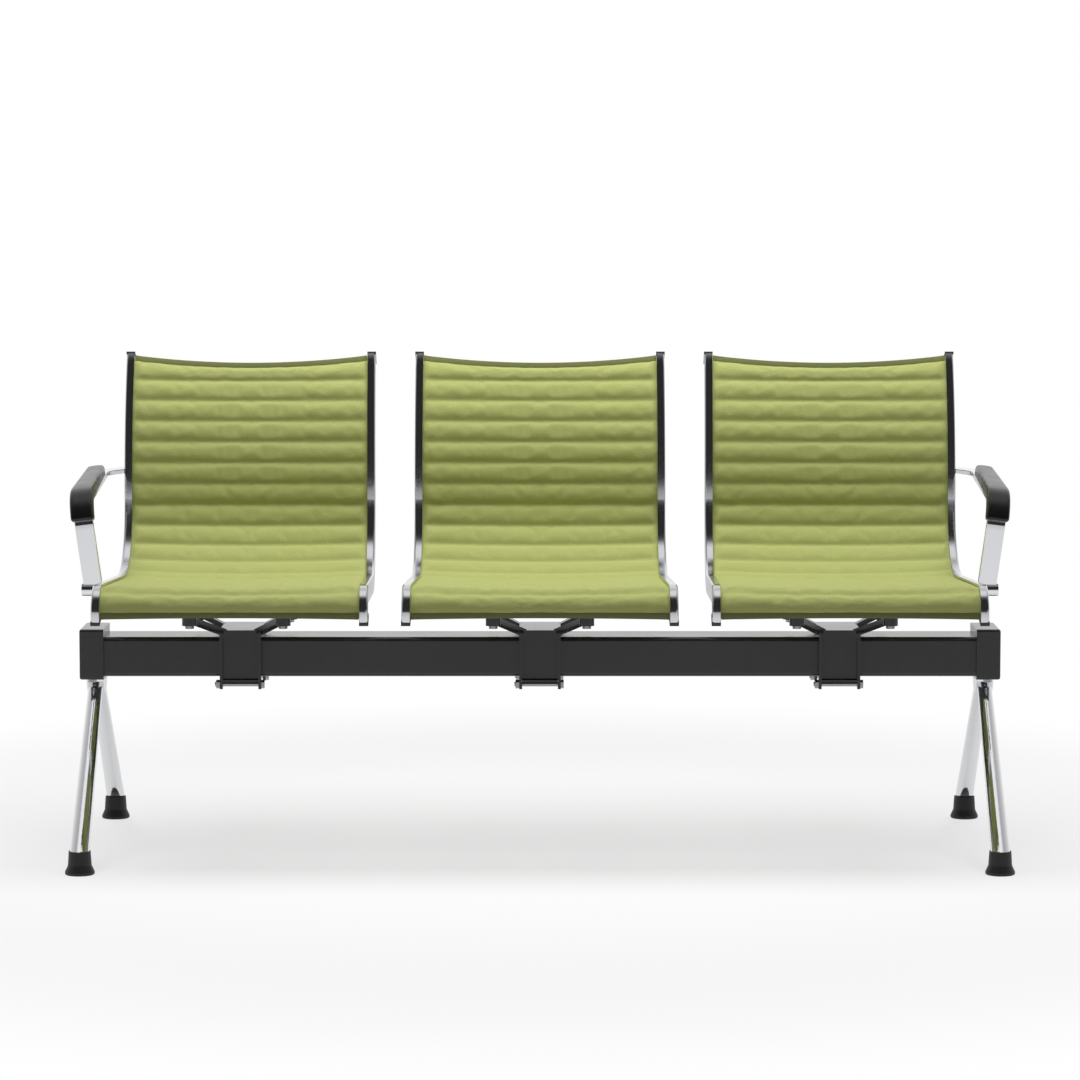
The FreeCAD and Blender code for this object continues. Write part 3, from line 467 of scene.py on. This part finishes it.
bpy.ops.object.select_all(action="DESELECT")
bpy.ops.mesh.primitive_cylinder_add(vertices=5, radius=thread_radius, depth=stitch_length,
                                    rotation=(0, math.radians(90), 0))
stitch = bpy.context.object
bpy.ops.object.transform_apply(rotation=True)
bpy.ops.object.mode_set(mode="EDIT")
bpy.ops.mesh.select_all(action="SELECT")
bpy.ops.mesh.bisect(plane_co=(0, 0, 0), plane_no=(1, 0, 0))
bpy.ops.object.mode_set(mode="OBJECT")
for vertex in stitch.data.vertices:
    if abs(vertex.co.x) > thread_radius:
        vertex.co.z -= thread_radius
finish_with(stitch, "ARRAY", use_relative_offset=False, use_constant_offset=True,
            constant_offset_displace=(stitch_pitch, 0, 0), count=stitches_across)
row_start = -(stitches_across - 1) * stitch_pitch / 2
row = [(v.co.x + row_start, v.co.y, v.co.z) for v in stitch.data.vertices]
seams = [first_seam + k * rib_step for k in range(ribs + 1)]
finish_with(stitch, "ARRAY", use_relative_offset=False, use_constant_offset=True,
            constant_offset_displace=(0, rib_step, 0), count=2 * len(seams))
for index, vertex in enumerate(stitch.data.vertices):
    x, along, up = row[index % len(row)]
    line_number, side = divmod(index // len(row), 2)
    face = 1 if side else -1
    s = seams[line_number]
    vertex.co = hung(x, s + along, face * (padding(x, s, face) - stitch_sink + up))
only(stitch)
bpy.ops.object.mode_set(mode="EDIT")
bpy.ops.mesh.select_all(action="SELECT")
bpy.ops.mesh.normals_make_consistent(inside=False)
bpy.ops.object.mode_set(mode="OBJECT")
bpy.ops.object.shade_smooth()
stitch.name = "middle_stitching"
stitch.data.materials.append(thread)
for seat, piece in for_each_seat(stitch, "stitching").items():
    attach(piece, "bench")


# The arm loops are bent from flat steel strip and chromed with the legs. The pads on them are
# moulded self-skinned foam, black and smooth, with a fine leather grain and a turned-down nose.
paint(["%s_arm_loop" % side for side in sides], chrome)
rail_middle = -0.010
rail_outer = 0.2275
front_spreader_y = -0.150
arm_back_along = 0.677
arm_foot_behind = 0.0378
arm_width = 0.032
arm_thick = 0.008
arm_outside = 0.061
arm_fall = math.radians(4.3)
arm_front_lean = math.radians(8.0)
arm_bend = 0.042
arm_tilt = math.radians(7.0)
pad_width = 0.040
pad_thick = 0.018
pad_gap = 0.0002
pad_back = 0.075
pad_nose_turn = math.radians(76.0)
pad_taper = 0.2  # how much narrower the pad's rear end is
pad_crown = 0.0015
pad_rounding = 0.007
pad_merge = 0.0001


def beside(s, n):
    """Y and Z at s along the seat's line and n to the sitter's side."""
    y, z, heading = at(s)
    return Vector((0, y - n * math.sin(heading), z + n * math.cos(heading)))


# The loop's middle line, seen from the side: a run forwards, a bend, and a leg down to the seat.
level_start, level_y, _, level_heading, _ = spans[1]
arm_foot_along = level_start + (front_spreader_y - level_y) / math.cos(level_heading) + arm_foot_behind
run_way = Vector((0, -math.cos(arm_fall), -math.sin(arm_fall)))
leg_way = Vector((0, math.sin(arm_front_lean), -math.cos(arm_front_lean)))
arm_rear = beside(arm_back_along, rail_middle)
arm_foot = beside(arm_foot_along, rail_middle)
run_start = arm_rear - run_way * (arm_width / 2)
across = arm_foot - run_start
run_length = (across.y * leg_way.z - across.z * leg_way.y) / (run_way.y * leg_way.z - run_way.z * leg_way.y)
arm_turn = math.radians(90) + arm_front_lean - arm_fall
bend_start = run_start + run_way * (run_length - arm_bend * math.tan(arm_turn / 2))
arm_up = Vector((0, run_way.z, -run_way.y))
bend_centre = bend_start - arm_up * arm_bend
pad_start = run_start + run_way * pad_back
pad_foot = arm_thick / 2 + pad_gap
pad_run = (bend_start - pad_start).length

# The pad's section is drawn across its rear end, carried forwards, and spun down over the bend.
section = pad_start + arm_up * (pad_foot + pad_thick / 2)
bpy.ops.object.select_all(action="DESELECT")
bpy.ops.mesh.primitive_grid_add(x_subdivisions=6, y_subdivisions=3, size=1.0, location=section,
                                rotation=(math.atan2(arm_up.z, arm_up.y), 0, 0))
pad = bpy.context.object
pad.name = "right_soft_arm_pad"
pad.scale = (pad_width, pad_thick, 1)
bpy.ops.object.transform_apply(location=True, rotation=True, scale=True)
run_steps = 10
bpy.ops.object.mode_set(mode="EDIT")
bpy.ops.mesh.select_all(action="SELECT")
for _ in range(run_steps):
    bpy.ops.mesh.extrude_region_move(TRANSFORM_OT_translate={"value": run_way * (pad_run / run_steps)})
bpy.ops.mesh.spin(steps=8, angle=-pad_nose_turn, center=bend_centre, axis=(1, 0, 0))
bpy.ops.mesh.select_all(action="SELECT")
bpy.ops.mesh.remove_doubles(threshold=pad_merge)
bpy.ops.mesh.normals_make_consistent(inside=False)
bpy.ops.object.mode_set(mode="OBJECT")


def over_strip(p):
    """How far a point of the pad is above the steel, and how far along the run."""
    ahead = (p - bend_start).dot(run_way)
    if ahead > 0:
        return (Vector((0, p.y, p.z)) - bend_centre).length - arm_bend - pad_foot, ahead
    return (p - bend_start).dot(arm_up) - pad_foot, ahead


# The upper edges get a full rounding and the lower ones a small one.
lower_share = 0.2
sharp_corner = math.radians(45)
weights = pad.data.attributes.new("bevel_weight_edge", "FLOAT", "EDGE")
faces_at = {}
for face in pad.data.polygons:
    for key in face.edge_keys:
        faces_at.setdefault(key, []).append(face.normal)
for edge in pad.data.edges:
    normals = faces_at[edge.key]
    if len(normals) == 2 and normals[0].angle(normals[1]) > sharp_corner:
        low = all(over_strip(pad.data.vertices[i].co)[0] < pad_thick / 4 for i in edge.vertices)
        weights.data[edge.index].value = lower_share if low else 1.0
for vertex in pad.data.vertices:
    above, ahead = over_strip(vertex.co)
    behind = min(1.0, max(0.0, -ahead / pad_run))
    middle = 1 - (vertex.co.x / (pad_width / 2)) ** 2
    vertex.co += arm_up * (pad_crown * middle * above / pad_thick if ahead <= 0 else 0.0)
    vertex.co.x *= 1 - pad_taper * behind
finish_with(pad, "BEVEL", width=pad_rounding, segments=4, limit_method="WEIGHT", use_clamp_overlap=True)
finish_with(pad, "SUBSURF", levels=1, render_levels=1)
bpy.ops.object.shade_smooth()

# Drawn upright over the middle of the strip, it is moved out to the strip and tilted with it.
arm_rail = rail_outer - arm_rear.y * math.tan(rail_toe)
pad.data.transform(Matrix.Translation((arm_rail + arm_outside - arm_width / 2, 0, 0)))
tilt = Matrix.Translation((arm_rail, 0, arm_rear.z)) @ Matrix.Rotation(arm_tilt, 4, "Y")
tilt = tilt @ Matrix.Translation((-arm_rail, 0, -arm_rear.z))
pad.data.transform(Matrix.Translation((seat_pitch, 0, 0)) @ tilt)

skin, tree, shader, place = new_material("self-skinned foam")
shader.inputs["IOR"].default_value = 1.5
shader.inputs["Base Color"].default_value = linear("161617")
grain_pitch = 0.0008
pores = add(tree, "ShaderNodeTexVoronoi", {"Vector": place}, {"Scale": 1 / grain_pitch})
bump = add(tree, "ShaderNodeBump", {"Height": pores.outputs["Distance"]},
           {"Strength": 0.06, "Distance": 0.0001})
rub = add(tree, "ShaderNodeTexNoise", {"Vector": place}, {"Scale": 25.0, "Detail": 3.0})
gloss = add(tree, "ShaderNodeMapRange", {"Value": rub.outputs["Fac"]}, {"To Min": 0.2, "To Max": 0.34})
tree.links.new(gloss.outputs["Result"], shader.inputs["Roughness"])
tree.links.new(bump.outputs["Normal"], shader.inputs["Normal"])
pad.data.materials.append(skin)

only(pad)
bpy.ops.object.duplicate_move()
other_pad = bpy.context.object
other_pad.name = "left_soft_arm_pad"
other_pad.data.transform(Matrix.Diagonal((-1, 1, 1, 1)))
bpy.ops.object.mode_set(mode="EDIT")
bpy.ops.mesh.select_all(action="SELECT")
bpy.ops.mesh.normals_make_consistent(inside=False)
bpy.ops.object.mode_set(mode="OBJECT")
for side, piece in (("right", pad), ("left", other_pad)):
    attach(piece, "bench")
    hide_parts("%s_arm_pad" % side)


# The floor is one pale sheet. Near the bench it takes the shadow, and further off it is as white
# as the backdrop, so that no horizon shows.
floor_size = 60.0
shadow_reach = 2.0  # the floor is plain white past this
white_under_bench = 0.68  # share of plain white in the floor under the bench
white_in_metal = 0.6  # and where polished metal mirrors the floor
bpy.ops.object.select_all(action="DESELECT")
bpy.ops.mesh.primitive_plane_add(size=floor_size)
floor = bpy.context.object
floor.name = "floor"
pale, tree, shader, place = new_material("pale floor")
shader.inputs["Base Color"].default_value = (0.9, 0.9, 0.9, 1)
shader.inputs["Roughness"].default_value = 0.9
shader.inputs["Specular IOR Level"].default_value = 0.1
distance = add(tree, "ShaderNodeVectorMath", {0: place}, operation="LENGTH")
share = add(tree, "ShaderNodeMapRange", {"Value": distance.outputs["Value"]},
            {"From Min": shadow_reach / 2, "From Max": shadow_reach, "To Min": white_under_bench, "To Max": 1.0},
            interpolation_type="SMOOTHSTEP")
rays = add(tree, "ShaderNodeLightPath")
seen = add(tree, "ShaderNodeMath", {0: rays.outputs["Is Camera Ray"], 1: share.outputs["Result"]},
           operation="MULTIPLY")
mirrored = add(tree, "ShaderNodeMath", {0: rays.outputs["Is Glossy Ray"]}, {1: white_in_metal},
               operation="MULTIPLY")
glowing = add(tree, "ShaderNodeMath", {0: seen.outputs[0], 1: mirrored.outputs[0]}, operation="MAXIMUM")
glow = add(tree, "ShaderNodeEmission", values={"Color": (1, 1, 1, 1), "Strength": 1.0})
mix = add(tree, "ShaderNodeMixShader", {0: glowing.outputs[0], 1: shader.outputs[0], 2: glow.outputs[0]})
tree.links.new(mix.outputs[0], tree.nodes["Material Output"].inputs["Surface"])
floor.data.materials.append(pale)

# The studio: white to the camera, a weak even light, and for polished metal a white wall behind,
# a bright ceiling panel, grey sides and a dark room behind the camera.
scene = bpy.context.scene
scene.view_settings.view_transform = "Standard"
world = bpy.data.worlds.new("studio")
scene.world = world
world.use_nodes = True
tree = world.node_tree
ambient = tree.nodes["Background"]
ambient.inputs["Color"].default_value = (1, 1, 1, 1)
ambient.inputs["Strength"].default_value = 0.20
white = add(tree, "ShaderNodeBackground", values={"Color": (1, 1, 1, 1), "Strength": 1.0})
way = add(tree, "ShaderNodeTexCoord").outputs["Generated"]
parts = add(tree, "ShaderNodeSeparateXYZ", {0: way})
behind = add(tree, "ShaderNodeMapRange", {"Value": parts.outputs["Y"]},
             {"From Min": -0.55, "From Max": 0.75, "To Min": 0.03, "To Max": 1.0})
above = add(tree, "ShaderNodeMapRange", {"Value": parts.outputs["Z"]},
            {"From Min": 0.90, "From Max": 0.98, "To Min": 0.0, "To Max": 1.0})
room = add(tree, "ShaderNodeMath", {0: behind.outputs[0], 1: above.outputs[0]}, operation="MAXIMUM")
studio = add(tree, "ShaderNodeBackground", {"Color": room.outputs[0]}, {"Strength": 1.0})
rays = add(tree, "ShaderNodeLightPath")
shiny = add(tree, "ShaderNodeMixShader", {0: rays.outputs["Is Glossy Ray"], 1: ambient.outputs[0],
                                          2: studio.outputs[0]})
shown = add(tree, "ShaderNodeMixShader", {0: rays.outputs["Is Camera Ray"], 1: shiny.outputs[0],
                                          2: white.outputs[0]})
tree.links.new(shown.outputs[0], tree.nodes["World Output"].inputs["Surface"])


def softbox(name, place, aim, width, depth, watts):
    """A rectangular lamp at a place, turned to a point. Polished metal doesn't show it."""
    lamp = bpy.data.lights.new(name, "AREA")
    lamp.shape = "RECTANGLE"
    lamp.size = width
    lamp.size_y = depth
    lamp.energy = watts
    holder = bpy.data.objects.new(name, lamp)
    bpy.context.collection.objects.link(holder)
    holder.location = place
    holder.rotation_euler = (Vector(aim) - Vector(place)).to_track_quat("-Z", "Y").to_euler()
    holder.visible_glossy = False


softbox("overhead", (0, -0.08, 2.2), (0, 0, 0.4), 3.0, 1.0, 56.0)
softbox("from the front", (0, -4.5, 2.6), (0, 0, 0.5), 3.0, 1.5, 7.0)

# The camera stands well back, at the eye height of someone who sits, and looks down a little.
camera_distance = 7.25
camera_height = 1.217
camera_tilt = math.radians(5.35)
camera = bpy.data.cameras.new("camera")
camera.sensor_width = 36.0
camera.lens = 139.0
holder = bpy.data.objects.new("camera", camera)
bpy.context.collection.objects.link(holder)
holder.location = (0, -camera_distance, camera_height)
holder.rotation_euler = (math.radians(90) - camera_tilt, 0, 0)
scene.camera = holder
